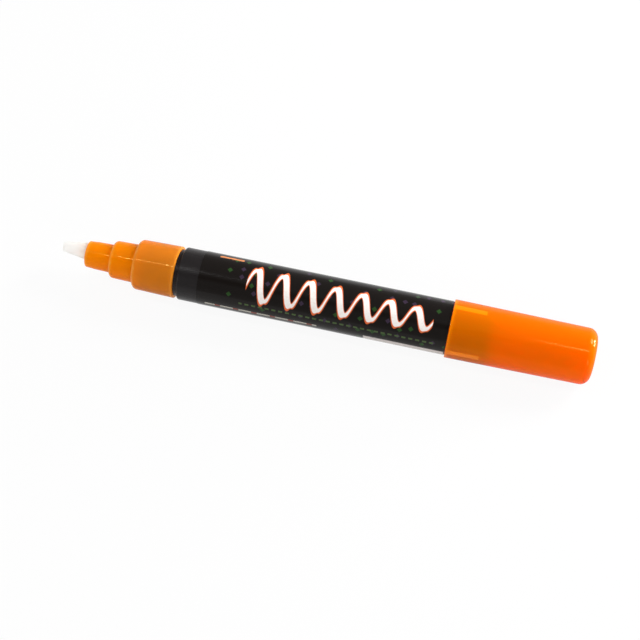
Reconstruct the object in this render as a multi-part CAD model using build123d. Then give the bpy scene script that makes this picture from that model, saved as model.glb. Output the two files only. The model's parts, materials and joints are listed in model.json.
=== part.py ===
from build123d import *
import math
import os

# Liquid chalk marker, lying on its side with the cap pushed onto its back end.
# X runs along the axis from the writing tip to the cap, Z is up, sizes are in mm.
# Stations along the axis count from the barrel's front shoulder, towards the cap.

# Largest share of a flat that rounded corners may use up
round_share = 0.95

# Barrel: a moulded tube with a collar and a neck in front of its shoulder
barrel_diameter = 14.8
barrel_length = 75.55
barrel_wall = 1.2
barrel_lip_round = 0.5
barrel_rear_round = 0.15
collar_depth = 0.8
collar_width = 1.1
neck_depth = 1.3
neck_wall = 1.0
neck_edge_round = 0.3
bead_height = 0.2
bead_width = 1.6
bead_setback = 3.0

# Label: a wrapped film, its two ends just short of meeting
label_thickness = 0.08
label_glue = 0.02
label_front_setback = 6.0
label_rear_setback = 0.3
label_seam_gap = 0.4
label_seam_turn = 270

# Tail plug: closes the tube and carries the cap while writing
tail_step = 0.3
tail_length = 11.5
tail_end_round = 1.0
tail_wall = 1.1
plug_spigot_length = 6.0
plug_fit = 0.02
plug_lead_in = 0.4

# Nose: one stepped moulding, each step tapering by the same draft
nose_base_step = 0.11
nose_base_length = 12.1
nose_base_round = 1.2
nose_middle_diameter = 10.84
nose_middle_length = 7.05
nose_middle_round = 1.0
nose_tip_length = 7.25
nose_tip_wall = 0.85
nose_draft = 1.35
nose_root_round = 0.2
nose_rear_round = 0.25
nose_wall = 1.0
nose_front_wall = 1.4
nose_fit = 0.05
tip_lead_length = 2.3
tip_ring_step = 0.05
tip_mouth_drop = 0.12
tip_mouth_round = 0.25
tip_bore_lead_in = 0.2
guide_rib_count = 4
guide_rib_width = 0.8
guide_rib_root = 0.25
guide_rib_clearance = 0.04

# Nib: a felt rod with a wedge tip whose two flats lean at their own angles
nib_diameter = 6.0
nib_reach = 7.0
nib_stop_gap = 1.3
nib_clearance = 0.12
nib_turn = 27.6
nib_tail_chamfer = 0.5
wedge_high = 2.0
wedge_low = 0.7
wedge_high_angle = 10.0
wedge_low_angle = 8.5
wedge_end_slant = 0.45
wedge_length = 7.5
wedge_heel_angle = 45
wedge_end_round = 0.3
wedge_side_round = 0.9

# Valve: a spring holds the stem's soft ring on its seat until the nib is pressed
press_stroke = 1.6
gasket_thickness = 0.6
flange_thickness = 1.2
flange_clearance = 0.1
seat_bore_diameter = 2.6
cage_gap = 0.5
cage_wall = 0.7
cage_length = 13.0
window_count = 3
window_width = 3.0
window_length = 6.0
window_setback = 1.5
stem_rod_diameter = 1.8
stem_head_gap = 1.0
stem_head_thickness = 1.2
stem_pilot_length = 1.2
stem_pilot_clearance = 0.15
stem_guide_diameter = 1.6
stem_guide_overrun = 0.6
stem_guide_clearance = 0.08
stem_end_round = 0.3
seal_setback = 0.1
seal_thickness = 0.8
seal_fit = 0.03
retainer_thickness = 1.6
retainer_rim = 0.8
retainer_fit = 0.02
flow_hole_count = 3
flow_hole_diameter = 1.0
flow_hole_margin = 0.4
spring_wire = 0.4
spring_diameter = 2.8
spring_turns = 7
arcs_per_turn = 4

# Mixing ball, lying on the bottom of the ink chamber
ball_diameter = 5.0
ball_gap = 0.1

# Cap: a drafted shell whose three inner ribs grip the tail plug or the nose
cap_nib_room = 3.17
cap_wall = 0.65
cap_end_wall = 1.0
cap_draft = 0.5
cap_end_round = 2.7
cap_inner_round = 2.0
cap_mouth_round = 0.2
grip_rib_count = 3
grip_rib_height = 0.3
grip_rib_width = 1.2
grip_rib_length = 9.0
grip_rib_ramp = 1.0
grip_rib_root = 0.25
grip_rib_turn = 70.7
grip_rib_clearance = 0.05

# Cap liner: an inner cup that closes round the nose tip while the cap is in front
liner_wall = 0.7
liner_end_wall = 0.8
liner_end_round = 0.4
liner_flange = 1.0
liner_flare = 0.5
liner_squeeze = 0.05
liner_fit = 0.02
liner_front_gap = 0.6
liner_fin_count = 4
liner_fin_thickness = 0.8
liner_fin_margin = 1.0
liner_fin_root = 0.2


def drafted(radius, length, angle):
    """Radius after a taper of the angle over the length."""
    return radius - length * math.tan(math.radians(angle))


# Radii of the barrel and of what fits it
barrel_radius = barrel_diameter / 2
bore_radius = barrel_radius - barrel_wall
collar_radius = barrel_radius - collar_depth
neck_radius = barrel_radius - neck_depth
neck_bore_radius = neck_radius - neck_wall
tail_radius = barrel_radius - tail_step
nose_base_radius = barrel_radius - nose_base_step
nose_tip_radius = nib_diameter / 2 + nib_clearance + nose_tip_wall

# Stations of the nose, from its rear edge on the collar to its mouth
nose_rear = -collar_width
base_front = nose_rear - nose_base_length
middle_front = base_front - nose_middle_length
nose_mouth = middle_front - nose_tip_length
nose_shoulder = base_front + nose_front_wall
skirt_radius = neck_radius + nose_fit

# Stations of the valve stack between the nose's inner shoulder and the neck
flange_rear = nose_shoulder + flange_thickness
neck_front = flange_rear + gasket_thickness
cage_rear = flange_rear + cage_length
cage_radius = neck_bore_radius - cage_gap
cage_bore_radius = cage_radius - cage_wall
stem_head_radius = cage_bore_radius - stem_head_gap
head_front = flange_rear + seal_thickness
head_rear = head_front + stem_head_thickness
retainer_front = cage_rear - retainer_thickness
retainer_rear = cage_rear + retainer_rim
guide_end = retainer_rear + stem_guide_overrun

# Stations of the nib, the cap and the ball
nib_tip = nose_mouth - nib_reach
nib_tail = nose_shoulder - press_stroke - nib_stop_gap
cap_mouth = barrel_length
cap_inner_end = cap_mouth - nib_tip + cap_nib_room + liner_end_wall
cap_end = cap_inner_end + cap_end_wall
grip_radius = tail_radius + grip_rib_clearance
cap_bore_radius = grip_radius + grip_rib_height
cap_radius = cap_bore_radius + cap_wall
tail_end = barrel_length + tail_length
spigot_front = barrel_length - plug_spigot_length
ball_radius = ball_diameter / 2
ball_front = guide_end + press_stroke + ball_radius + ball_gap
ball_drop = bore_radius - ball_radius - ball_gap

# The part's origin is under its middle, on the surface that it lies on
shift = Pos(-(nib_tip + cap_end) / 2, 0, cap_radius)


def turned(*corners):
    """Solid turned about X from (station, radius) corners; a third number rounds its corner."""
    points = [Vector(corner[0], corner[1]) for corner in corners]
    rounds = [corner[2] if len(corner) > 2 else 0 for corner in corners]
    section = make_face(Polyline(*points, close=True))
    for i, (point, wanted) in enumerate(zip(points, rounds)):
        if wanted:
            neighbours = [i - 1, (i + 1) % len(points)]
            room = min((points[j] - point).length * wanted / (wanted + rounds[j]) for j in neighbours)
            corner = section.vertices().sort_by_distance(point)[0]
            section = fillet(corner, min(wanted, round_share * room))
    return revolve(section, Axis.X)


def fin(width, *corners):
    """Flat web of (station, radius) corners, standing on the +Y side of the axis."""
    return extrude(make_face(Polyline(*corners, close=True)), width / 2, both=True)


def around(count, solid, first_turn=0):
    """Copies of the solid spaced evenly about the axis."""
    return [Rot(X=first_turn + 360 / count * i) * solid for i in range(count)]


def make_barrel():
    bead_rear = -collar_width - bead_setback
    bead_top = neck_radius + bead_height
    cone = bore_radius - neck_bore_radius
    return turned(
        (neck_front, neck_bore_radius),
        (neck_front, neck_radius, neck_edge_round),
        (bead_rear - bead_width, neck_radius),
        (bead_rear - bead_width / 2, bead_top),
        (bead_rear, neck_radius),
        (-collar_width, neck_radius),
        (-collar_width, collar_radius),
        (0, collar_radius),
        (0, barrel_radius, barrel_lip_round),
        (barrel_length, barrel_radius, barrel_rear_round),
        (barrel_length, bore_radius),
        (barrel_wall + cone, bore_radius),
        (barrel_wall, neck_bore_radius),
    )


def make_label():
    inner = barrel_radius + label_glue
    outer = inner + label_thickness
    front = label_front_setback
    rear = barrel_length - label_rear_setback
    film = turned((front, inner), (front, outer), (rear, outer), (rear, inner))
    seam = fin(label_seam_gap, (front, 0), (rear, 0), (rear, 2 * outer), (front, 2 * outer))
    return film - Rot(X=label_seam_turn) * seam


def make_tail_plug():
    spigot_radius = bore_radius - plug_fit
    cup_radius = spigot_radius - tail_wall
    return turned(
        (spigot_front, cup_radius),
        (spigot_front, spigot_radius, plug_lead_in),
        (barrel_length, spigot_radius),
        (barrel_length, tail_radius),
        (tail_end, tail_radius, tail_end_round),
        (tail_end, 0),
        (tail_end - tail_wall, 0),
        (tail_end - tail_wall, cup_radius, tail_end_round),
    )


def make_nose():
    middle_radius = nose_middle_diameter / 2
    ring = nose_mouth + tip_lead_length
    ring_radius = drafted(nose_tip_radius, middle_front - ring, nose_draft)
    lead_radius = ring_radius - tip_ring_step
    middle_front_radius = drafted(middle_radius, nose_middle_length, nose_draft)
    chamber_front = middle_front + nose_wall
    chamber_radius = middle_front_radius - nose_wall
    tip_bore_radius = nib_diameter / 2 + nib_clearance
    groove_rear = nose_rear - bead_setback
    groove_bottom = skirt_radius + bead_height
    shell = turned(
        (nose_rear, nose_base_radius, nose_rear_round),
        (base_front, drafted(nose_base_radius, nose_base_length, nose_draft), nose_base_round),
        (base_front, middle_radius, nose_root_round),
        (middle_front, middle_front_radius, nose_middle_round),
        (middle_front, nose_tip_radius, nose_root_round),
        (ring, ring_radius),
        (ring, lead_radius),
        (nose_mouth, lead_radius - tip_mouth_drop, tip_mouth_round),
        (nose_mouth, tip_bore_radius + tip_bore_lead_in),
        (nose_mouth + tip_bore_lead_in, tip_bore_radius),
        (chamber_front, tip_bore_radius),
        (chamber_front, chamber_radius),
        (nose_shoulder, chamber_radius),
        (nose_shoulder, skirt_radius),
        (groove_rear - bead_width, skirt_radius),
        (groove_rear - bead_width / 2, groove_bottom),
        (groove_rear, skirt_radius),
        (nose_rear, skirt_radius),
    )
    rib_radius = nib_diameter / 2 + guide_rib_clearance
    rib_root = tip_bore_radius + guide_rib_root
    rib = fin(
        guide_rib_width,
        (ring, rib_root),
        (ring, rib_radius),
        (chamber_front, rib_radius),
        (chamber_front, rib_root),
    )
    return shell + around(guide_rib_count, rib)


def make_nib():
    radius = nib_diameter / 2
    rod = turned(
        (nib_tip, 0),
        (nib_tip, radius),
        (nib_tail - nib_tail_chamfer, radius),
        (nib_tail, radius - nib_tail_chamfer),
        (nib_tail, 0),
    )
    heel = nib_tip + wedge_length
    heel_low = -drafted(wedge_low, wedge_length - wedge_end_slant, -wedge_low_angle)
    heel_run = (radius + heel_low) / math.tan(math.radians(wedge_heel_angle))
    high_run = (radius - wedge_high) / math.tan(math.radians(wedge_high_angle))
    side = make_face(
        Polyline(
            (nib_tip, wedge_high),
            (nib_tip + wedge_end_slant, -wedge_low),
            (heel, heel_low),
            (heel + heel_run, -radius),
            (nib_tail, -radius),
            (nib_tail, radius),
            (nib_tip + high_run, radius),
            close=True,
        )
    )
    tip_corners = side.vertices().sort_by(Axis.X)[:2]
    wedge = extrude(fillet(tip_corners, wedge_end_round), radius, both=True)
    plan = make_face(
        Polyline((nib_tip, -radius), (nib_tail, -radius), (nib_tail, radius), (nib_tip, radius), close=True)
    )
    plan_corners = plan.vertices().group_by(Axis.X)[0]
    outline = Rot(X=90) * extrude(fillet(plan_corners, wedge_side_round), radius, both=True)
    return Rot(X=nib_turn) * (rod & wedge & outline)


def make_gasket():
    return turned(
        (flange_rear, neck_bore_radius),
        (flange_rear, neck_radius),
        (neck_front, neck_radius),
        (neck_front, neck_bore_radius),
    )


def make_valve_housing():
    flange_radius = skirt_radius - flange_clearance
    seat_radius = seat_bore_diameter / 2
    body = turned(
        (nose_shoulder, seat_radius),
        (nose_shoulder, flange_radius),
        (flange_rear, flange_radius),
        (flange_rear, cage_radius),
        (cage_rear, cage_radius),
        (cage_rear, cage_bore_radius),
        (flange_rear, cage_bore_radius),
        (flange_rear, seat_radius),
    )
    window_front = flange_rear + window_setback
    window_rear = window_front + window_length
    window = fin(
        window_width,
        (window_front, 0),
        (window_rear, 0),
        (window_rear, neck_bore_radius),
        (window_front, neck_bore_radius),
    )
    return body - around(window_count, window)


def make_valve_seal():
    inner = stem_rod_diameter / 2 + seal_fit
    outer = stem_head_radius - seal_setback
    return turned((flange_rear, inner), (flange_rear, outer), (head_front, outer), (head_front, inner))


def make_valve_stem():
    rod_radius = stem_rod_diameter / 2
    pilot_radius = spring_diameter / 2 - spring_wire / 2 - stem_pilot_clearance
    guide_radius = stem_guide_diameter / 2
    pilot_end = head_rear + stem_pilot_length
    return turned(
        (nib_tail, 0),
        (nib_tail, rod_radius, stem_end_round),
        (head_front, rod_radius),
        (head_front, stem_head_radius),
        (head_rear, stem_head_radius),
        (head_rear, pilot_radius),
        (pilot_end, pilot_radius),
        (pilot_end, guide_radius),
        (guide_end, guide_radius, stem_end_round),
        (guide_end, 0),
    )


def make_spring_retainer():
    hole_radius = stem_guide_diameter / 2 + stem_guide_clearance
    spigot_radius = cage_bore_radius - retainer_fit
    body = turned(
        (retainer_front, hole_radius),
        (retainer_front, spigot_radius),
        (cage_rear, spigot_radius),
        (cage_rear, cage_radius),
        (retainer_rear, cage_radius),
        (retainer_rear, hole_radius),
    )
    flow_radius = flow_hole_diameter / 2
    flow_place = Pos(retainer_front, spigot_radius - flow_hole_margin - flow_radius, 0) * Rot(Y=90)
    flow_hole = Cylinder(flow_radius, 2 * (retainer_rear - retainer_front))
    return body - around(flow_hole_count, flow_place * flow_hole)


def coil_point(turn):
    """Point and direction of the spring's centre line after so many turns."""
    front = head_rear + spring_wire / 2
    pitch = (retainer_front - spring_wire / 2 - front) / spring_turns
    radius = spring_diameter / 2
    angle = 2 * math.pi * turn
    point = Vector(front + pitch * turn, radius * math.cos(angle), radius * math.sin(angle))
    climb = pitch / (2 * math.pi)
    direction = Vector(climb, -radius * math.sin(angle), radius * math.cos(angle)).normalized()
    return point, direction


def biarc(start, start_way, end, end_way):
    """Two arcs that meet smoothly and join two points in their given directions."""
    span = end - start
    ways = start_way + end_way
    bend = 2 * (1 - start_way.dot(end_way))
    along = span.dot(ways)
    reach = (math.sqrt(along**2 + bend * span.dot(span)) - along) / bend
    first = start + start_way * reach
    last = end - end_way * reach
    middle = (first + last) * 0.5
    return [
        TangentArc(start, middle, tangent=start_way),
        TangentArc(middle, end, tangent=(last - first).normalized()),
    ]


def make_spring():
    places = [coil_point(i / arcs_per_turn) for i in range(spring_turns * arcs_per_turn + 1)]
    arcs = []
    for (start, start_way), (end, end_way) in zip(places, places[1:]):
        arcs += biarc(start, start_way, end, end_way)
    start, start_way = places[0]
    section = Plane(origin=start, z_dir=start_way) * Circle(spring_wire / 2)
    self_gap = min(
        (a - b).length for i, (a, _) in enumerate(places) for b, _ in places[i + arcs_per_turn :]
    )
    print("least gap between the spring's turns", round(self_gap - spring_wire, 2))
    return sweep(section, path=Wire(arcs))


def make_ball():
    return Pos(ball_front, 0, -ball_drop) * Sphere(ball_radius)


def make_cap_shell():
    inner_end_radius = drafted(cap_bore_radius, cap_inner_end - cap_mouth, cap_draft)
    shell = turned(
        (cap_mouth, cap_bore_radius),
        (cap_mouth, cap_radius, cap_mouth_round),
        (cap_end, drafted(cap_radius, cap_end - cap_mouth, cap_draft), cap_end_round),
        (cap_end, 0),
        (cap_inner_end, 0),
        (cap_inner_end, inner_end_radius, cap_inner_round),
    )
    rib_end = cap_mouth + grip_rib_length
    root = cap_bore_radius + grip_rib_root
    rib = fin(
        grip_rib_width,
        (cap_mouth, root),
        (cap_mouth, grip_radius),
        (rib_end - grip_rib_ramp, grip_radius),
        (rib_end, root),
    )
    return shell + around(grip_rib_count, rib, grip_rib_turn)


def make_cap_liner():
    front = cap_mouth - middle_front + liner_front_gap
    flange_rear_station = front + liner_flange
    flange_radius = drafted(cap_bore_radius, flange_rear_station - cap_mouth, cap_draft) - liner_fit
    bore = nose_tip_radius - liner_squeeze
    outer = bore + liner_wall
    cup = turned(
        (front, bore + liner_flare),
        (front, flange_radius),
        (flange_rear_station, flange_radius),
        (flange_rear_station, outer),
        (cap_inner_end, outer, liner_end_round),
        (cap_inner_end, 0),
        (cap_inner_end - liner_end_wall, 0),
        (cap_inner_end - liner_end_wall, bore, liner_end_round),
        (front + liner_flare, bore),
    )
    fin_top = flange_radius - liner_fin_margin
    web = fin(
        liner_fin_thickness,
        (flange_rear_station, outer - liner_fin_root),
        (flange_rear_station, fin_top),
        (cap_inner_end - cap_inner_round, outer - liner_fin_root),
    )
    return cup + around(liner_fin_count, web)


pieces = {
    "barrel": make_barrel(),
    "barrel_label": make_label(),
    "tail_plug": make_tail_plug(),
    "nose_cone": make_nose(),
    "nib": make_nib(),
    "neck_gasket": make_gasket(),
    "valve_housing": make_valve_housing(),
    "valve_seal": make_valve_seal(),
    "valve_stem": make_valve_stem(),
    "valve_spring": make_spring(),
    "spring_retainer": make_spring_retainer(),
    "mixing_ball": make_ball(),
    "cap_shell": make_cap_shell(),
    "cap_liner": make_cap_liner(),
}

os.makedirs("parts", exist_ok=True)
for name, piece in pieces.items():
    export_step(shift * piece, f"parts/{name}.step")
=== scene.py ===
"""Looks of a liquid chalk marker: its felt nib, printed film, orange plastic, valve and studio."""

import json
import math
from typing import NamedTuple

import bmesh
import bpy
from bpy.props import FloatProperty, FloatVectorProperty, IntProperty, PointerProperty
from mathutils import Euler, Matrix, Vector, noise


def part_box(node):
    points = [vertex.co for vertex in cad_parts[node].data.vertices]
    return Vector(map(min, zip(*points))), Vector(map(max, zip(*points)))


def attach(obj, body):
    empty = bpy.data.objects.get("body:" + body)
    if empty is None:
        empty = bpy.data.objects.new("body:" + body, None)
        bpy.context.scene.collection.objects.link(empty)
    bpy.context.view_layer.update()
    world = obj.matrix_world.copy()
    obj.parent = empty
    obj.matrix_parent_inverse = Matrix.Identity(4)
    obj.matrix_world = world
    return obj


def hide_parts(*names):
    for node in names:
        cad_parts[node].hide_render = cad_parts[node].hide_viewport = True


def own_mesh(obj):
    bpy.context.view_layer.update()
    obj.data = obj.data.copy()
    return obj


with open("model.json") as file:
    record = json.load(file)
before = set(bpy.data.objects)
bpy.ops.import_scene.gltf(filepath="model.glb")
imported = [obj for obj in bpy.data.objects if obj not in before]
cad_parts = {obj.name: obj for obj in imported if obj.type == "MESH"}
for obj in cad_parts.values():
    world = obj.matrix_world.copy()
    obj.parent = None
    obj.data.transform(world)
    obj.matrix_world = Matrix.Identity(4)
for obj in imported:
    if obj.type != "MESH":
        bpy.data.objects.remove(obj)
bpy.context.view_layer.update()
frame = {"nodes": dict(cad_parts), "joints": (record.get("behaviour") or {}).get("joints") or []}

bl_info = {
    "name": "Chalk Marker Finishes",
    "version": (1, 0, 0),
    "blender": (4, 5, 0),
    "location": "3D View > Sidebar > Marker",
    "description": "Felt nib, printed film, moulded finishes and studio of a pump marker",
    "category": "Object",
}

MM = 0.001
PER_METRE = 1 / MM
# Points of a CAD mesh that lie this near each other are one
WELD = 0.001 * MM
# Half width of a crisp edge in a pattern, in millimetres
SOFT_EDGE = 0.06
nodes = frame["nodes"]
label_low, label_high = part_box("barrel_label")
nose_low, nose_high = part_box("nose_cone")
cap_low, cap_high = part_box("cap_shell")
spring_low, spring_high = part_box("valve_spring")
axis_height = (label_low.z + label_high.z) / 2
label_radius = (label_high.z - label_low.z) / 2
cap_radius = (cap_high.z - cap_low.z) / 2


def mm(metres):
    return metres * PER_METRE


# Kinds of property


def size(name, millimetres, description):
    return FloatProperty(
        name=name, description=description, default=millimetres * MM, unit="LENGTH", precision=5
    )


def angle(name, degrees, description):
    return FloatProperty(
        name=name, description=description, default=math.radians(degrees), subtype="ANGLE"
    )


def share(name, value, description):
    return FloatProperty(
        name=name, description=description, default=value, min=0, max=1, subtype="FACTOR"
    )


def colour(name, red, green, blue, description):
    return FloatVectorProperty(
        name=name,
        description=description,
        default=(red, green, blue),
        size=3,
        min=0,
        max=1,
        subtype="COLOR",
    )


def position(name, x, y, z, description):
    return FloatVectorProperty(
        name=name,
        description=description,
        default=(x, y, z),
        size=3,
        subtype="TRANSLATION",
        unit="LENGTH",
    )


def strength(name, value, description):
    return FloatProperty(name=name, description=description, default=value, min=0)


def count(name, value, description):
    return IntProperty(name=name, description=description, default=value, min=1)


class FeltSizes(bpy.types.PropertyGroup):
    """The felt nib."""

    clear: share("Clearness", 0.65, "Share of the light that passes through the felt")
    grain: size("Grain", 0.11, "Mesh step of the felt")
    soften: count("Softening", 14, "Rounds of smoothing that wear the cut edges soft")
    fuzz: size("Fuzz", 0.03, "Height of the fibres' lumps")
    fibre: size("Fibre", 0.25, "Spacing of the fibres across the nib")
    fibre_run: size("Fibre run", 1.6, "Length of a fibre's lump along the nib")
    # Painted bounce light from the orange nose on the felt: where it reaches and how it fades.
    bounce_reach: size("Tint reach", 1.2, "From the nose's mouth to where the felt's tint is at half")
    bounce_fade: size("Tint fade", 1.7, "Half length over which the felt's tint fades")


class PlasticSizes(bpy.types.PropertyGroup):
    """Painted light on the orange pieces: painted highlights along their rims, a painted sheen on the
    nose's base, and painted light over the cap's inner ribs, where they show through.
    """

    clear: share("Clearness", 0.62, "Share of the light that passes through the plastic")
    base_length: size("Nose base", 12.1, "From the nose's rear edge to its first shoulder")
    middle_length: size("Nose middle", 7.05, "From the first shoulder to the second")
    # Painted highlights along the nose's mouth, shoulders and rear edge and along the cap's mouth: their
    # places, widths and strengths.
    shoulder_highlight_setback: size("Shoulder rim", 0.45, "From a shoulder's face to its lighter rim")
    mouth_highlight_setback: size("Mouth rim", 0.3, "From a mouth to its lighter rim")
    highlight_half: size("Rim half width", 0.25, "Half width of a lighter rim")
    painted_light_fade: size("Rim fade", 0.8, "Width over which a rim fades")
    painted_light_cover: share("Rim cover", 0.85, "Strength of the colour along a rim")
    rear_highlight: share("Rear rim", 0.5, "Strength of the rim along the nose's rear edge")
    painted_light_opacity: share("Rim density", 0.7, "Share of the light that a rim stops from passing through")
    # Painted light over the cap's three inner ribs, placed where they show through its wall.
    rib_upper: angle("Upper rib", 70.2, "Turn about the axis at which the upper inner rib shows")
    rib_lower: angle("Lower rib", 170.7, "Turn about the axis at which the lower inner rib shows")
    rib_behind: angle("Rib behind", -49.3, "Turn about the axis at which the third inner rib shows")
    rib_half: size("Rib half width", 0.8, "Half width of an inner rib as it shows")
    rib_length: size("Rib length", 9.2, "From the cap's mouth to the end of its ribs")
    nose_flow: share("Nose flow marks", 0.3, "Strength of the flow marks in front of the nose's base")


class FilmSizes(bpy.types.PropertyGroup):
    """The printed film round the barrel. Places along it start at its front edge, and those
    around it at the line that the print is centred on."""

    print_turn: angle("Print turn", 27.7, "How far the print's middle line leans from straight up")
    wave_start: size("Wave start", 13.5, "Where the chalk wave begins")
    wave_end: size("Wave end", 65, "Where the chalk wave ends")
    wave_pitch: size("Wave pitch", 7.4, "Length of one wave")
    wave_rise: size("Wave rise", 0.9, "Height of the wave's middle line")
    wave_swing: size("Wave swing", 4.3, "Half height of the first waves")
    wave_fade: share("Wave fade", 0.45, "Share of the swing lost by the last wave")
    stroke_thin: size("Thin stroke", 0.22, "Half width of the rising strokes")
    stroke_thick: size("Thick stroke", 0.95, "Half width of the falling strokes")
    stroke_rim: size("Stroke rim", 0.3, "Width of the coloured rim round the strokes")
    line_height: size("Dashed line", -5.4, "Height of the dashed line under the wave")
    line_half: size("Dash half height", 0.3, "Half height of the dashes")
    line_overrun: size("Line overrun", 1.5, "How far the dashed line runs past the wave")
    dash_pitch: size("Dash pitch", 1.9, "Length of a dash and its gap")
    dash_half: size("Dash half length", 0.57, "Half length of a dash")
    bar_start: size("Bar start", 4.2, "Where the stroke sample begins")
    bar_end: size("Bar end", 11, "Where the stroke sample ends")
    bar_height: size("Bar height", 8.2, "Height of the stroke sample")
    bar_half: size("Bar half height", 0.42, "Half height of the stroke sample")
    speck_pitch: size("Speck pitch", 3.4, "Spacing of the small diamonds")
    speck_half: size("Speck half width", 0.75, "Half width of the small diamonds")
    speck_start: size("Speck start", 7, "Where the small diamonds begin")
    speck_reach: size("Speck reach", 9.6, "How far around the small diamonds go, each way")
    trim_start: size("Trim start", 2.4, "Where the two-colour trim begins")
    trim_end: size("Trim end", 34, "Where the two-colour trim ends")
    trim_height: size("Trim height", -8.3, "Height of the two-colour trim near the underside")
    trim_half: size("Trim half height", 0.36, "Half height of the trim")
    trim_pitch: size("Trim pitch", 5.2, "Length of the trim's repeat")
    trim_rust: size("Rust length", 1.56, "Length of the trim's darker part")
    panel_start: size("Panel start", 47, "Where the pale writing panel begins")
    panel_high: size("Panel high", -8.15, "Upper edge of the pale writing panel")
    panel_low: size("Panel low", -14.5, "Lower edge of the pale writing panel")
    rule_pitch: size("Rule pitch", 1.1, "Spacing of the panel's faint ruled lines")
    rule_half: size("Rule half width", 0.09, "Half width of a ruled line")
    rule_cover: share("Rule cover", 0.6, "How far a ruled line covers the panel")


class Colours(bpy.types.PropertyGroup):
    """Colours of the pieces and of the print, as linear values."""

    nose: colour("Nose", 1.0, 0.35, 0.0, "Orange of the nose")
    # Painted sheen on the nose's base; the same colour, fainter, marks the flow marks in front of it.
    nose_painted_sheen_and_flow: colour("Nose, deep", 0.95, 0.31, 0.025, "Orange of the nose where its wall is thick")
    # Painted highlight along the nose's rims.
    nose_painted_highlight: colour("Nose, rims", 1.0, 0.38, 0.05, "Orange of the nose along its rims")
    nose_glow: colour("Nose, lit through", 1.0, 0.61, 0.0, "Light that has passed through the nose")
    cap: colour("Cap", 1.0, 0.31, 0.0, "Orange of the cap")
    cap_deep: colour("Cap, deep", 0.98, 0.285, 0.0, "Orange of the cap in its flow marks")
    # Painted highlight along the cap's mouth and painted light over its inner ribs.
    cap_painted_light_colour: colour("Cap, rim and ribs", 1.0, 0.23, 0.0, "Orange of the cap's mouth and ribs")
    cap_glow: colour("Cap, lit through", 1.0, 0.02, 0.0, "Light that has passed through the cap")
    black: colour("Barrel", 0.0125, 0.0105, 0.0108, "Black of the barrel")
    black_worn: colour("Barrel, rubbed", 0.017, 0.0145, 0.0145, "Black of the barrel where it is rubbed")
    film: colour("Film", 0.0078, 0.006, 0.0052, "Black of the printed film")
    chalk: colour("Chalk", 0.9, 0.86, 0.82, "White of the chalk wave")
    rim: colour("Rim", 0.68, 0.13, 0.035, "Red-orange round the chalk wave")
    sample: colour("Stroke sample", 0.55, 0.19, 0.06, "Orange of the stroke sample")
    line: colour("Dashed line", 0.055, 0.088, 0.03, "Olive green of the dashed line")
    speck_green: colour("Green specks", 0.024, 0.072, 0.016, "Green of the small diamonds")
    speck_plum: colour("Plum specks", 0.042, 0.026, 0.05, "Plum of the small diamonds")
    trim_pale: colour("Trim, pale", 0.42, 0.4, 0.34, "Pale half of the trim")
    trim_rust: colour("Trim, rust", 0.2, 0.035, 0.02, "Rust half of the trim")
    panel: colour("Panel", 0.62, 0.56, 0.53, "Pale writing panel")
    felt: colour("Felt", 0.89, 0.9, 0.89, "White of the felt")
    felt_shade: colour("Felt, between fibres", 0.86, 0.865, 0.85, "White of the felt between its fibres")
    # Painted bounce light: the orange that the nose throws onto the felt beside its mouth.
    felt_painted_bounce: colour("Felt, by the nose", 0.92, 0.9, 0.8, "Tint of the felt by the nose's mouth")
    felt_glow: colour("Felt, lit through", 0.94, 0.95, 0.935, "Light that has passed through the felt")
    milky: colour("Valve plastic", 0.74, 0.75, 0.72, "Undyed plastic of the valve")
    milky_deep: colour("Valve plastic, deep", 0.64, 0.65, 0.61, "Undyed plastic where it is thick")
    rubber: colour("Rubber", 0.03, 0.03, 0.032, "Seal and gasket")
    rubber_bloom: colour("Rubber, bloom", 0.06, 0.06, 0.06, "Pale bloom on the rubber")
    steel: colour("Steel", 0.6, 0.59, 0.57, "Spring and ball")
    steel_dull: colour("Steel, dull", 0.42, 0.41, 0.4, "Spring and ball where they are rubbed dull")
    floor: colour("Floor", 0.7, 0.7, 0.7, "Pale studio floor")


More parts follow.
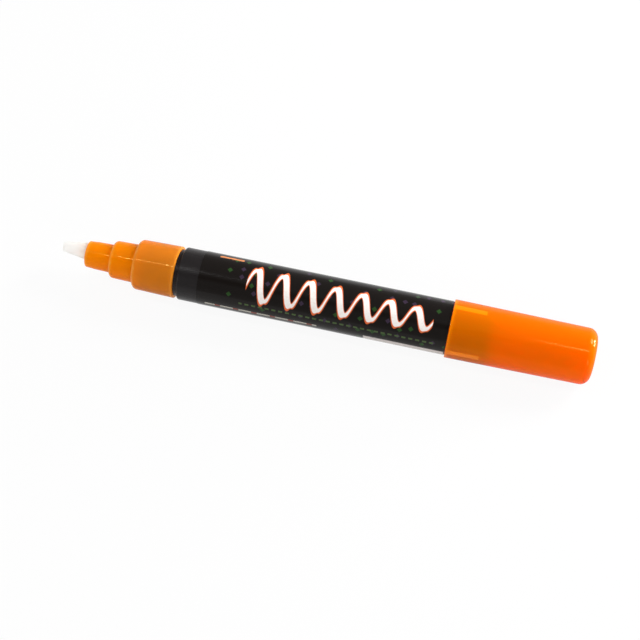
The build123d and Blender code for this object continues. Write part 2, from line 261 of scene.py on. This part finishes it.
class Studio(bpy.types.PropertyGroup):
    """Camera, floor and lights."""

    azimuth: angle("Azimuth", 13.18, "Camera's turn to the right of the front")
    elevation: angle("Elevation", 62.37, "Camera's height above the horizon")
    distance: size("Distance", 369.23, "From the camera to the point that it looks at")
    aim_x: size("Aim along", 0.312, "Point that the camera looks at, along the marker")
    aim_y: size("Aim across", -5.603, "Point that the camera looks at, across the marker")
    lens: FloatProperty(name="Lens", description="Focal length in millimetres", default=75.94, min=1)
    floor_width: size("Floor width", 20000, "Side of the square floor")
    floor_glow: share("Floor glow", 0.93, "Share of plain white in the floor as it is seen")
    sky: strength("Sky", 0.36, "Brightness of the tent overhead")
    horizon: strength("Horizon", 0.5, "Brightness of the tent near the floor")
    slot: strength("Dark slot", 0.03, "Brightness of the tent's opening for the camera")
    slot_half: share("Slot half width", 0.17, "Half width of the opening, as a sine")
    slot_fade: share("Slot fade", 0.12, "Softness of the opening's edges, as a sine")
    slot_foot: share("Slot foot", 0.3, "Height at which the opening begins, as a sine")
    slot_foot_fade: share("Slot foot fade", 0.1, "Softness of the opening's foot, as a sine")
    wall_middle: share("Wall middle", 0.25, "Height of the tent's middle brightness, as a sine")
    tube_left: strength("Left tube", 40, "Brightness of the thin lamp over the nose")
    tube_right: strength("Right tube", 32, "Brightness of the thin lamp over the cap")
    tube_left_length: size("Left tube length", 550, "Length of the thin lamp over the nose")
    tube_right_length: size("Right tube length", 205, "Length of the thin lamp over the cap")
    tube_width: size("Tube width", 20, "Width of a thin lamp")
    tube_left_at: position("Left tube", -0.455, -0.074, 0.6, "Middle of the left thin lamp")
    tube_right_at: position("Right tube", 0.205, -0.053, 0.6, "Middle of the right thin lamp")
    side: strength("Side boxes", 6, "Brightness of the soft boxes left and right")
    side_width: size("Side box width", 350, "Side of a square soft box")
    side_left_at: position("Left box", -0.7, -0.75, 0.5, "Middle of the left soft box")
    side_right_at: position("Right box", 0.7, -0.75, 0.5, "Middle of the right soft box")
    end: strength("End box", 70, "Brightness of the low box beyond the cap's end")
    end_width: size("End box width", 270, "Side of the low square box")
    end_at: position("End box place", 0.9, 0.55, 0.14, "Middle of the low box beyond the cap's end")
    back: strength("Back box", 29, "Brightness of the box behind the cap")
    back_left: strength("Left back box", 3, "Brightness of the box behind the nose")
    back_width: size("Back box width", 160, "Width of a box behind")
    back_height: size("Back box height", 200, "Height of a box behind")
    back_at: position("Back box place", 0.36, 0.3, 0.33, "Middle of the box behind the cap")
    back_left_at: position("Left back box place", -0.65, 0.52, 0.56, "Middle of the box behind the nose")


class Marker(bpy.types.PropertyGroup):
    """All values of the marker."""

    felt: PointerProperty(type=FeltSizes, name="Felt", description="Sizes of the nib")
    plastic: PointerProperty(type=PlasticSizes, name="Plastic", description="Rims and ribs")
    film: PointerProperty(type=FilmSizes, name="Film", description="Sizes of the printed film")
    colours: PointerProperty(type=Colours, name="Colours", description="Colours of all pieces")
    studio: PointerProperty(type=Studio, name="Studio", description="Camera, floor and lights")


# Node trees


class Number:
    """A socket that holds a number. Python's operators on it add Math nodes."""

    def __init__(self, finish, socket):
        self.finish = finish
        self.socket = socket

    def math(self, operation, *values):
        made = self.finish.add("ShaderNodeMath", {"operation": operation}, dict(enumerate(values)))
        return Number(self.finish, made.outputs[0])

    def __add__(self, other):
        return self.math("ADD", self, other)

    def __radd__(self, other):
        return self.math("ADD", other, self)

    def __sub__(self, other):
        return self.math("SUBTRACT", self, other)

    def __rsub__(self, other):
        return self.math("SUBTRACT", other, self)

    def __mul__(self, other):
        return self.math("MULTIPLY", self, other)

    def __rmul__(self, other):
        return self.math("MULTIPLY", other, self)

    def __truediv__(self, other):
        return self.math("DIVIDE", self, other)

    def __mod__(self, other):
        return self.math("FLOORED_MODULO", self, other)

    def __abs__(self):
        return self.math("ABSOLUTE", self)

    def sine(self):
        return self.math("SINE", self)

    def cosine(self):
        return self.math("COSINE", self)

    def root(self):
        return self.math("SQRT", self)

    def at_least(self, other):
        return self.math("MAXIMUM", self, other)

    def turn_from(self, other):
        return self.math("ARCTAN2", self, other)

    def above(self, edge, soft=SOFT_EDGE):
        """0 below the edge and 1 above it, with a soft step of that half width."""
        made = self.finish.add(
            "ShaderNodeMapRange",
            {"interpolation_type": "SMOOTHSTEP"},
            {"Value": self, "From Min": edge - soft, "From Max": edge + soft},
        )
        return Number(self.finish, made.outputs["Result"])

    def below(self, edge, soft=SOFT_EDGE):
        return 1 - self.above(edge, soft)

    def near(self, middle, half, soft=SOFT_EDGE):
        """1 within half of the middle and 0 further off."""
        return abs(self - middle).below(half, soft)

    def between(self, low, high, soft=SOFT_EDGE):
        return self.near((low + high) / 2, (high - low) / 2, soft)

    def ranged(self, low, high):
        """low where this is 0, and high where it is 1."""
        return low + (high - low) * self


class Surface(NamedTuple):
    """How a finish feels: its roughness at an unevenness of 0 and of 1, and the depth and strength of
    its fine relief."""

    smooth: float
    rough: float
    depth: float
    bump: float


class Finish:
    """The node tree of a material or of the world."""

    def __init__(self, owner):
        self.owner = owner
        owner.use_nodes = True
        self.tree = owner.node_tree
        self.tree.nodes.clear()

    def add(self, kind, settings=None, sockets=None):
        """Adds a node, sets its settings and then its sockets' values or links."""
        made = self.tree.nodes.new(kind)
        for name, value in (settings or {}).items():
            setattr(made, name, value)
        for name, value in (sockets or {}).items():
            self.join(value, made.inputs[name])
        return made

    def join(self, value, socket):
        source = value.socket if isinstance(value, Number) else value
        if isinstance(source, bpy.types.NodeSocket):
            self.tree.links.new(source, socket)
        elif socket.type == "RGBA" and len(source) == 3:
            socket.default_value = (*source, 1)
        else:
            socket.default_value = source

    def place(self, turn=0.0):
        """The surface's own coordinates in millimetres, from the marker's axis, turned about it."""
        spin = Euler((turn, 0, 0)).to_matrix()
        centre = spin @ Vector((0, 0, axis_height)) * PER_METRE
        coordinates = self.add("ShaderNodeTexCoord")
        made = self.add(
            "ShaderNodeMapping",
            {"vector_type": "POINT"},
            {
                "Vector": coordinates.outputs["Object"],
                "Location": -centre,
                "Rotation": (turn, 0, 0),
                "Scale": (PER_METRE, PER_METRE, PER_METRE),
            },
        )
        return made.outputs["Vector"]

    def stretched(self, vector, along, around):
        """Coordinates for a pattern whose grains are that long and wide, in millimetres."""
        scale = (1 / along, 1 / around, 1 / around)
        made = self.add("ShaderNodeVectorMath", {"operation": "MULTIPLY"}, {0: vector, 1: scale})
        return made.outputs["Vector"]

    def grain(self, spot, along, around, detail=2.0):
        """Noise whose grains are that long and wide, in millimetres."""
        vector = self.stretched(spot, along, around)
        made = self.add("ShaderNodeTexNoise", None, {"Vector": vector, "Scale": 1, "Detail": detail})
        return Number(self, made.outputs["Fac"])

    def parts(self, vector):
        made = self.add("ShaderNodeSeparateXYZ", None, {"Vector": vector})
        return [Number(self, output) for output in made.outputs]

    def joined(self, *numbers):
        made = self.add("ShaderNodeCombineXYZ", None, dict(enumerate(numbers)))
        return made.outputs["Vector"]

    def mixed(self, share, first, second):
        made = self.add(
            "ShaderNodeMix", {"data_type": "RGBA", "blend_type": "MIX"}, {0: share, 6: first, 7: second}
        )
        return made.outputs[2]

    def surfaced(self, kind, shade, unevenness, relief, gloss):
        """A surface of that kind and shade, rougher where it is uneven. The gloss holds the sockets
        that are the same all over."""
        bump = self.add(
            "ShaderNodeBump", None, {"Height": relief, "Distance": kind.depth, "Strength": kind.bump}
        )
        sockets = {
            "Base Color": shade,
            "Roughness": unevenness.ranged(kind.smooth, kind.rough),
            "Normal": bump.outputs["Normal"],
            **gloss,
        }
        return self.add("ShaderNodeBsdfPrincipled", None, sockets).outputs["BSDF"]

    def lit_through(self, clear, surface, glow):
        """A surface through which that share of the light passes, in the glow's colour."""
        inside = self.add("ShaderNodeBsdfTranslucent", None, {"Color": glow})
        made = self.add("ShaderNodeMixShader", None, {0: clear, 1: surface, 2: inside.outputs["BSDF"]})
        return made.outputs["Shader"]

    def shown(self, shader):
        self.add("ShaderNodeOutputMaterial", None, {"Surface": shader})


def new_finish(name):
    return Finish(bpy.data.materials.new(name))


def dress(node_names, finish):
    """Gives CAD nodes a finish in all their material slots."""
    for name in node_names:
        mesh = nodes[name].data
        mesh.materials.clear()
        mesh.materials.append(finish.owner)


# Finishes


ORANGE = Surface(smooth=0.045, rough=0.085, depth=0.02 * MM, bump=0.15)
BLACK = Surface(smooth=0.26, rough=0.34, depth=0.008 * MM, bump=0.4)
FILM = Surface(smooth=0.13, rough=0.19, depth=0.02 * MM, bump=0.3)
FELT = Surface(smooth=0.82, rough=0.97, depth=0.07 * MM, bump=0.5)
MILKY = Surface(smooth=0.35, rough=0.5, depth=0.01 * MM, bump=0.4)
RUBBER = Surface(smooth=0.6, rough=0.85, depth=0.01 * MM, bump=0.4)
STEEL = Surface(smooth=0.16, rough=0.36, depth=0.004 * MM, bump=0.4)
# How much of the black plastic's unevenness a rubbed place takes away
RUBBED_POLISH = 0.625
# How much the print adds to the film's roughness, and the shares of its thinner inks in that
INK_TOOTH = 2
SPECK_TOOTH = 0.3
LINE_TOOTH = 0.5
# How fast the chalk stroke thins out past its ends
STROKE_END_CUT = 4
# How far the diamonds stray from an even grid
SPECK_SCATTER = 0.7
# Half of all random draws lie above this
EVEN_CHANCE = 0.5
# Share of the long fibres in the felt's relief; the rest is short fluff
FIBRE_SHARE = 0.65
# How far the felt's lumps are sunk below the face that carries them
LUMP_SUNK = 0.4


def flow_marks(finish, spot):
    """Faint streaks along a moulding."""
    return finish.grain(spot, along=14, around=3, detail=3).above(edge=0.5, soft=0.3)


def nose_painted_sheen_and_flow_mask(finish, spot, plastic):
    """1 on the nose's base, where a sheen is painted, and faint flow marks in front of it."""
    base = finish.parts(spot)[0].above(mm(nose_high.x - plastic.base_length), mm(plastic.painted_light_fade))
    return base.at_least(plastic.nose_flow * flow_marks(finish, spot))


def nose_painted_highlight_mask(finish, spot, plastic):
    """Painted highlights: 1 along the nose's mouth and its two shoulders, and less along its rear edge.
    """
    x = finish.parts(spot)[0]
    rear = nose_high.x
    base = rear - plastic.base_length
    middle = base - plastic.middle_length
    places = (
        nose_low.x + plastic.mouth_highlight_setback,
        middle + plastic.shoulder_highlight_setback,
        base + plastic.shoulder_highlight_setback,
        rear - plastic.mouth_highlight_setback,
    )
    mouth, second, first, back = [
        x.near(mm(place), mm(plastic.highlight_half), mm(plastic.painted_light_fade)) for place in places
    ]
    return mouth + second + first + plastic.rear_highlight * back


def cap_painted_light_mask(finish, spot, plastic):
    """Painted light: 1 along the cap's mouth, a painted highlight, and over the ribs inside it, where
    they show through the wall.
    """
    x, y, z = finish.parts(spot)
    behind = x - mm(cap_low.x)
    mouth = behind.near(mm(plastic.mouth_highlight_setback), mm(plastic.highlight_half), mm(plastic.painted_light_fade))
    turn = z.turn_from(y)
    half = plastic.rib_half / cap_radius
    soft = 2 * SOFT_EDGE / mm(cap_radius)
    upper, lower, third = [
        turn.near(rib, half, soft) for rib in (plastic.rib_upper, plastic.rib_lower, plastic.rib_behind)
    ]
    # Painted light over the inner ribs, where they show through the wall.
    painted_rib_light = (upper + lower + third) * behind.below(mm(plastic.rib_length), 2 * SOFT_EDGE)
    return mouth.at_least(painted_rib_light)


def mould(finish, spot, plastic, shade, rims, edge, glow):
    """Shows glossy plastic with painted highlights in the edge colour where the rims mask is 1, and less
    light passing through there. A share of the light passes through it, so that what lies inside darkens
    it."""
    shell = finish.surfaced(
        ORANGE,
        finish.mixed(plastic.painted_light_cover * rims, shade, edge),
        finish.grain(spot, along=5, around=2),
        finish.grain(spot, along=2.4, around=1.6),
        {"IOR": 1.49, "Specular IOR Level": 0.45, "Specular Tint": (1, 0.75, 0.2)},
    )
    # The painted highlights and painted rib light let less light through.
    clear = plastic.clear * (1 - plastic.painted_light_opacity * rims)
    finish.shown(finish.lit_through(clear, shell, glow))


def nose_orange(plastic, colours):
    """Orange plastic, with a painted sheen on the nose's base and painted highlights along its rims."""
    finish = new_finish("nose_orange")
    spot = finish.place()
    shade = finish.mixed(nose_painted_sheen_and_flow_mask(finish, spot, plastic), colours.nose, colours.nose_painted_sheen_and_flow)
    rims = nose_painted_highlight_mask(finish, spot, plastic)
    mould(finish, spot, plastic, shade, rims, colours.nose_painted_highlight, colours.nose_glow)
    return finish


def cap_orange(plastic, colours):
    """Orange plastic, faintly streaked, with a painted highlight along the cap's mouth and painted light
    over its ribs.
    """
    finish = new_finish("cap_orange")
    spot = finish.place()
    shade = finish.mixed(flow_marks(finish, spot), colours.cap, colours.cap_deep)
    rims = cap_painted_light_mask(finish, spot, plastic)
    mould(finish, spot, plastic, shade, rims, colours.cap_painted_light_colour, colours.cap_glow)
    return finish


def satin_black(colours):
    """Black moulded plastic, fine grained, with a few rubbed places."""
    finish = new_finish("satin_black")
    spot = finish.place()
    rubbed = finish.grain(spot, along=9, around=1.2, detail=4).above(edge=0.6, soft=0.14)
    shell = finish.surfaced(
        BLACK,
        finish.mixed(rubbed, colours.black, colours.black_worn),
        finish.grain(spot, along=2, around=1) - RUBBED_POLISH * rubbed,
        finish.grain(spot, along=0.2, around=0.2),
        {"IOR": 1.5, "Specular IOR Level": 0.18},
    )
    finish.shown(shell)
    return finish


def wave_reach(film, along, around):
    """How far a point lies outside the wavy chisel stroke, in millimetres."""
    start, end, pitch = mm(film.wave_start), mm(film.wave_end), mm(film.wave_pitch)
    swing, thin, thick = mm(film.wave_swing), mm(film.stroke_thin), mm(film.stroke_thick)
    per_mm = 2 * math.pi / pitch
    phase = (along - start) * per_mm
    height = swing - (along - start) * (swing * film.wave_fade / (end - start))
    slope = height * per_mm * phase.cosine()
    away = abs(around - mm(film.wave_rise) - height * phase.sine()) / (1 + slope * slope).root()
    half_width = thin + (thick - thin) / 2 * (1 - phase.cosine())
    past_end = (abs(along - (start + end) / 2) - (end - start) / 2).at_least(0)
    return away - half_width + STROKE_END_CUT * past_end


def diamonds(finish, film, along, around, first, second):
    """Small scattered diamonds of two colours: where they are, and their colour there."""
    pitch = mm(film.speck_pitch)
    where = finish.joined(along / pitch, around / pitch, 0)
    cells = finish.add(
        "ShaderNodeTexVoronoi",
        {"voronoi_dimensions": "2D", "distance": "MANHATTAN"},
        {"Vector": where, "Scale": 1, "Randomness": SPECK_SCATTER},
    )
    chosen, which, _ = finish.parts(cells.outputs["Color"])
    shape = Number(finish, cells.outputs["Distance"]).below(mm(film.speck_half) / pitch, soft=0.03)
    facing = abs(around).below(mm(film.speck_reach), soft=0.5)
    facing = facing * along.above(mm(film.speck_start), soft=0.5)
    paint = finish.mixed(which.above(EVEN_CHANCE, soft=0.01), first, second)
    return shape * facing * chosen.above(EVEN_CHANCE, soft=0.01), paint


def dashes(film, along, around):
    """The dashed line under the wave."""
    pitch = mm(film.dash_pitch)
    dash = (along % pitch).near(pitch / 2, mm(film.dash_half))
    run = along.between(mm(film.wave_start - film.line_overrun), mm(film.wave_end + film.line_overrun))
    return around.near(mm(film.line_height), mm(film.line_half)) * dash * run


def stroke_sample(film, along, around):
    """A short bar that shows the ink's colour."""
    run = along.between(mm(film.bar_start), mm(film.bar_end))
    return around.near(mm(film.bar_height), mm(film.bar_half)) * run


def trim(film, along, around):
    """The trim near the underside, and its darker parts."""
    run = along.between(mm(film.trim_start), mm(film.trim_end))
    strip = around.near(mm(film.trim_height), mm(film.trim_half)) * run
    return strip, (along % mm(film.trim_pitch)).below(mm(film.trim_rust))


def writing_panel(film, along, around):
    """The pale panel near the underside, with faint ruled lines."""
    panel = around.between(mm(film.panel_low), mm(film.panel_high)) * along.above(mm(film.panel_start))
    pitch = mm(film.rule_pitch)
    rules = (around % pitch).near(pitch / 2, mm(film.rule_half))
    return panel * (1 - film.rule_cover * rules)


def printed_film(film, colours):
    """Glossy black film with a chalk wave, a dashed line, small diamonds and a pale panel."""
    finish = new_finish("printed_film")
    spot = finish.place(turn=-film.print_turn)
    x, y, z = finish.parts(spot)
    along = x - mm(label_low.x)
    around = y.turn_from(z) * mm(label_radius)
    dust = finish.grain(spot, along=0.5, around=0.5, detail=3)

    speck, paint = diamonds(finish, film, along, around, colours.speck_green, colours.speck_plum)
    speck = speck * dust.ranged(0.55, 1)
    shade = finish.mixed(speck, colours.film, paint)
    reach = wave_reach(film, along, around)
    rim = reach.below(mm(film.stroke_rim))
    shade = finish.mixed(rim, shade, colours.rim)
    chalk = reach.below(0) * dust.above(edge=0.42, soft=0.12).ranged(0.86, 1)
    shade = finish.mixed(chalk, shade, colours.chalk)
    line = dashes(film, along, around)
    shade = finish.mixed(line, shade, colours.line)
    shade = finish.mixed(stroke_sample(film, along, around), shade, colours.sample)
    strip, rust = trim(film, along, around)
    shade = finish.mixed(strip, shade, finish.mixed(rust, colours.trim_pale, colours.trim_rust))
    shade = finish.mixed(writing_panel(film, along, around), shade, colours.panel)

    ink = rim + SPECK_TOOTH * speck + LINE_TOOTH * line
    face = finish.surfaced(
        FILM,
        shade,
        finish.grain(spot, along=8, around=2) + INK_TOOTH * ink,
        finish.grain(spot, along=2.5, around=1.6),
        {"IOR": 1.45, "Specular IOR Level": 0.18},
    )
    finish.shown(face)
    return finish


def white_felt(felt, colours):
    """White polyester felt, with fibres along the nib and painted bounce light from the nose by its
    mouth. A share of the light passes through it.
    """
    finish = new_finish("white_felt")
    spot = finish.place()
    fibres = finish.grain(spot, along=1.4, around=0.13, detail=4)
    fluff = finish.grain(spot, along=0.35, around=0.3, detail=3)
    relief = FIBRE_SHARE * fibres + (1 - FIBRE_SHARE) * fluff
    white = finish.mixed(relief.above(edge=0.47, soft=0.13), colours.felt_shade, colours.felt)
    # Painted bounce light from the orange nose, on the felt by its mouth.
    painted_bounce = finish.parts(spot)[0].above(mm(nose_low.x - felt.bounce_reach), mm(felt.bounce_fade))
    shade = finish.mixed(painted_bounce * fluff.ranged(0.75, 1), white, colours.felt_painted_bounce)
    face = finish.surfaced(FELT, shade, fluff, relief, {"Specular IOR Level": 0.1})
    finish.shown(finish.lit_through(felt.clear, face, colours.felt_glow))
    return finish


def milky_plastic(colours):
    """Undyed moulded plastic."""
    finish = new_finish("milky_plastic")
    spot = finish.place()
    cloud = finish.grain(spot, along=3, around=1.5, detail=3)
    shade = finish.mixed(cloud, colours.milky, colours.milky_deep)
    relief = finish.grain(spot, along=0.3, around=0.3)
    depth = {
        "Subsurface Weight": 0.6,
        "Subsurface Radius": (1, 0.95, 0.85),
        "Subsurface Scale": 0.6 * MM,
    }
    finish.shown(finish.surfaced(MILKY, shade, cloud, relief, depth))
    return finish


def soft_rubber(colours):
    """Dark rubber with a pale bloom."""
    finish = new_finish("soft_rubber")
    spot = finish.place()
    bloom = finish.grain(spot, along=0.8, around=0.8, detail=4).above(edge=0.55, soft=0.15)
    shade = finish.mixed(bloom, colours.rubber, colours.rubber_bloom)
    relief = finish.grain(spot, along=0.1, around=0.1)
    finish.shown(finish.surfaced(RUBBER, shade, bloom, relief, {}))
    return finish


def bright_steel(colours):
    """Drawn and polished steel."""
    finish = new_finish("bright_steel")
    spot = finish.place()
    rubbed = finish.grain(spot, along=0.6, around=0.25, detail=4).above(edge=0.55, soft=0.2)
    shade = finish.mixed(rubbed, colours.steel, colours.steel_dull)
    relief = finish.grain(spot, along=0.3, around=0.06)
    finish.shown(finish.surfaced(STEEL, shade, rubbed, relief, {"Metallic": 1}))
    return finish


# Meshes


def new_piece(name, shape, finish, body, slot, *replaced):
    """Makes a piece of a bmesh, which rides on a body and stands for CAD nodes."""
    mesh = bpy.data.meshes.new(name)
    shape.to_mesh(mesh)
    shape.free()
    mesh.shade_smooth()
    mesh.materials.append(finish.owner)
    piece = bpy.data.objects.new(name, mesh)
    bpy.context.scene.collection.objects.link(piece)
    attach(piece, body)
    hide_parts(*replaced)
    return piece


def merged_copy(node_name):
    """A bmesh of a CAD node, with its loose triangles joined."""
    shape = bmesh.new()
    shape.from_mesh(nodes[node_name].data)
    bmesh.ops.remove_doubles(shape, verts=shape.verts, dist=WELD)
    return shape


def remeshed(node_name, grain):
    """A bmesh of even small faces over a CAD node's outside."""
    merged = merged_copy(node_name)
    mesh = bpy.data.meshes.new("remesh_blank")
    merged.to_mesh(mesh)
    merged.free()
    blank = bpy.data.objects.new("remesh_blank", mesh)
    bpy.context.scene.collection.objects.link(blank)
    remesh = blank.modifiers.new("even_faces", "REMESH")
    remesh.mode = "VOXEL"
    remesh.voxel_size = grain
    shape = bmesh.new()
    shape.from_object(blank, bpy.context.evaluated_depsgraph_get())
    bpy.data.objects.remove(blank)
    bpy.data.meshes.remove(mesh)
    if not shape.faces:
        raise RuntimeError("the remeshed shape has no faces")
    return shape


def felt_shape(felt):
    """The wedge-cut felt rod, its edges worn soft and its fibres standing a little proud."""
    shape = remeshed("nib", felt.grain)
    for _ in range(felt.soften):
        bmesh.ops.smooth_vert(
            shape, verts=shape.verts, factor=0.5, use_axis_x=True, use_axis_y=True, use_axis_z=True
        )
    shape.normal_update()
    fibre_scale = Vector((1 / felt.fibre_run, 1 / felt.fibre, 1 / felt.fibre))
    half_fuzz = felt.fuzz / 2
    for vert in shape.verts:
        vert.co += vert.normal * half_fuzz * (noise.noise(vert.co * fibre_scale) - LUMP_SUNK)
    return shape


# Operators


class MARKER_OT_barrel(bpy.types.Operator):
    """Dress the barrel and its tail plug"""

    bl_idname = "marker.barrel"
    bl_label = "Barrel"

    def execute(self, context):
        dress(["barrel", "tail_plug"], satin_black(context.scene.marker.colours))
        return {"FINISHED"}


class MARKER_OT_film(bpy.types.Operator):
    """Print the film round the barrel"""

    bl_idname = "marker.film"
    bl_label = "Printed film"

    def execute(self, context):
        values = context.scene.marker
        dress(["barrel_label"], printed_film(values.film, values.colours))
        return {"FINISHED"}


class MARKER_OT_nose(bpy.types.Operator):
    """Dress the stepped nose"""

    bl_idname = "marker.nose"
    bl_label = "Nose"

    def execute(self, context):
        values = context.scene.marker
        dress(["nose_cone"], nose_orange(values.plastic, values.colours))
        return {"FINISHED"}


class MARKER_OT_nib(bpy.types.Operator):
    """Cut the felt nib"""

    bl_idname = "marker.nib"
    bl_label = "Felt nib"

    def execute(self, context):
        values = context.scene.marker
        shape = felt_shape(values.felt)
        finish = white_felt(values.felt, values.colours)
        new_piece("felt_nib", shape, finish, "nib_plunger", "nib_felt", "nib")
        return {"FINISHED"}


class MARKER_OT_valve(bpy.types.Operator):
    """Dress the pump valve and the mixing ball, and make the spring a piece of its own"""

    bl_idname = "marker.valve"
    bl_label = "Pump valve"

    def execute(self, context):
        colours = context.scene.marker.colours
        dress(["valve_housing", "valve_stem", "spring_retainer"], milky_plastic(colours))
        dress(["neck_gasket", "valve_seal"], soft_rubber(colours))
        steel = bright_steel(colours)
        dress(["valve_spring", "mixing_ball"], steel)
        coil = merged_copy("valve_spring")
        spring = new_piece("coil_spring", coil, steel, "marker", "steel", "valve_spring")
        stroke = next(joint["range_m"][1] for joint in frame["joints"] if joint["name"] == "nib_press")
        kept_length = 1 - stroke / (spring_high.x - spring_low.x)
        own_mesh(spring)
        return {"FINISHED"}


class MARKER_OT_cap(bpy.types.Operator):
    """Dress the cap and its inner cup"""

    bl_idname = "marker.cap"
    bl_label = "Cap"

    def execute(self, context):
        values = context.scene.marker
        dress(["cap_shell", "cap_liner"], cap_orange(values.plastic, values.colours))
        return {"FINISHED"}


# Stage


def add_floor(studio, colours):
    """A pale floor that is seen as nearly white and still takes the marker's shadow."""
    shape = bmesh.new()
    bmesh.ops.create_grid(shape, x_segments=1, y_segments=1, size=studio.floor_width / 2)
    mesh = bpy.data.meshes.new("floor")
    shape.to_mesh(mesh)
    shape.free()
    floor = bpy.data.objects.new("floor", mesh)
    bpy.context.scene.collection.objects.link(floor)
    finish = new_finish("pale_floor")
    path = finish.add("ShaderNodeLightPath")
    seen = Number(finish, path.outputs["Is Camera Ray"])
    seen = seen + path.outputs["Is Glossy Ray"] + path.outputs["Is Transmission Ray"]
    lit = finish.add("ShaderNodeBsdfDiffuse", None, {"Color": colours.floor})
    white = finish.add("ShaderNodeEmission", None, {"Color": (1, 1, 1), "Strength": 1})
    both = finish.add(
        "ShaderNodeMixShader",
        None,
        {0: seen * studio.floor_glow, 1: lit.outputs["BSDF"], 2: white.outputs["Emission"]},
    )
    finish.shown(both.outputs["Shader"])
    mesh.materials.append(finish.owner)


def add_tent(studio):
    """A pale tent round the marker, with a dark slot through which the camera looks."""
    world = bpy.data.worlds.new("tent")
    bpy.context.scene.world = world
    finish = Finish(world)
    way = finish.add("ShaderNodeTexCoord").outputs["Generated"]
    lean = math.atan2(math.cos(studio.elevation) * math.cos(studio.azimuth), math.sin(studio.elevation))
    across = finish.add(
        "ShaderNodeVectorMath",
        {"operation": "DOT_PRODUCT"},
        {0: way, 1: (0, math.cos(lean), math.sin(lean))},
    )
    height = finish.parts(way)[2]
    slot = abs(Number(finish, across.outputs["Value"])).below(studio.slot_half, studio.slot_fade)
    slot = slot * height.above(studio.slot_foot, studio.slot_foot_fade)
    wall = height.above(studio.wall_middle, studio.wall_middle).ranged(studio.horizon, studio.sky)
    glow = wall + (studio.slot - wall) * slot
    light = finish.add("ShaderNodeBackground", None, {"Color": (1, 1, 1), "Strength": glow})
    finish.add("ShaderNodeOutputWorld", None, {"Surface": light.outputs["Background"]})


def add_lamp(name, place, aim, wide, high, brightness):
    """A flat lamp whose face has that brightness, turned towards a point."""
    lamp = bpy.data.lights.new(name, "AREA")
    lamp.shape = "RECTANGLE"
    lamp.size = wide
    lamp.size_y = high
    lamp.energy = brightness * math.pi * wide * high
    box = bpy.data.objects.new(name, lamp)
    box.location = place
    box.rotation_euler = (Vector(aim) - Vector(place)).to_track_quat("-Z", "Y").to_euler()
    box.visible_camera = False
    bpy.context.scene.collection.objects.link(box)


def add_lamps(studio):
    tubes = (
        ("tube_left", studio.tube_left_at, studio.tube_left_length, studio.tube_left),
        ("tube_right", studio.tube_right_at, studio.tube_right_length, studio.tube_right),
    )
    for name, place, length, brightness in tubes:
        under = (place[0], 0, 0)
        add_lamp(name, place, under, length, studio.tube_width, brightness)
    middle = (0, 0, axis_height)
    for name, place in (("box_left", studio.side_left_at), ("box_right", studio.side_right_at)):
        add_lamp(name, place, middle, studio.side_width, studio.side_width, studio.side)
    add_lamp("box_end", studio.end_at, middle, studio.end_width, studio.end_width, studio.end)
    backs = (
        ("box_back", studio.back_at, studio.back),
        ("box_back_left", studio.back_left_at, studio.back_left),
    )
    for name, place, brightness in backs:
        add_lamp(name, place, middle, studio.back_width, studio.back_height, brightness)


def add_camera(studio):
    camera = bpy.data.cameras.new("camera")
    camera.lens = studio.lens
    stand = bpy.data.objects.new("camera", camera)
    flat = math.cos(studio.elevation)
    back = Vector(
        (math.sin(studio.azimuth) * flat, -math.cos(studio.azimuth) * flat, math.sin(studio.elevation))
    )
    stand.location = Vector((studio.aim_x, studio.aim_y, axis_height)) + back * studio.distance
    stand.rotation_euler = back.to_track_quat("Z", "Y").to_euler()
    bpy.context.scene.collection.objects.link(stand)
    bpy.context.scene.camera = stand


class MARKER_OT_stage(bpy.types.Operator):
    """Set up the floor, the tent, the lamps and the camera"""

    bl_idname = "marker.stage"
    bl_label = "Stage"

    def execute(self, context):
        values = context.scene.marker
        add_floor(values.studio, values.colours)
        add_tent(values.studio)
        add_lamps(values.studio)
        add_camera(values.studio)
        context.scene.view_settings.view_transform = "Standard"
        return {"FINISHED"}


steps = (
    MARKER_OT_barrel,
    MARKER_OT_film,
    MARKER_OT_nose,
    MARKER_OT_nib,
    MARKER_OT_valve,
    MARKER_OT_cap,
    MARKER_OT_stage,
)


class MARKER_PT_steps(bpy.types.Panel):
    """Lists the marker's steps"""

    bl_idname = "MARKER_PT_steps"
    bl_label = "Marker"
    bl_space_type = "VIEW_3D"
    bl_region_type = "UI"
    bl_category = "Marker"

    def draw(self, context):
        for step in steps:
            self.layout.operator(step.bl_idname)


groups = (FeltSizes, PlasticSizes, FilmSizes, Colours, Studio, Marker)
classes = (*groups, *steps, MARKER_PT_steps)


def register():
    for each in classes:
        bpy.utils.register_class(each)
    bpy.types.Scene.marker = PointerProperty(
        type=Marker, name="Marker", description="The marker's values"
    )


def unregister():
    del bpy.types.Scene.marker
    for each in reversed(classes):
        bpy.utils.unregister_class(each)


def main():
    register()
    for step in steps:
        family, name = step.bl_idname.split(".")
        getattr(getattr(bpy.ops, family), name)()


if __name__ == "__main__":
    main()
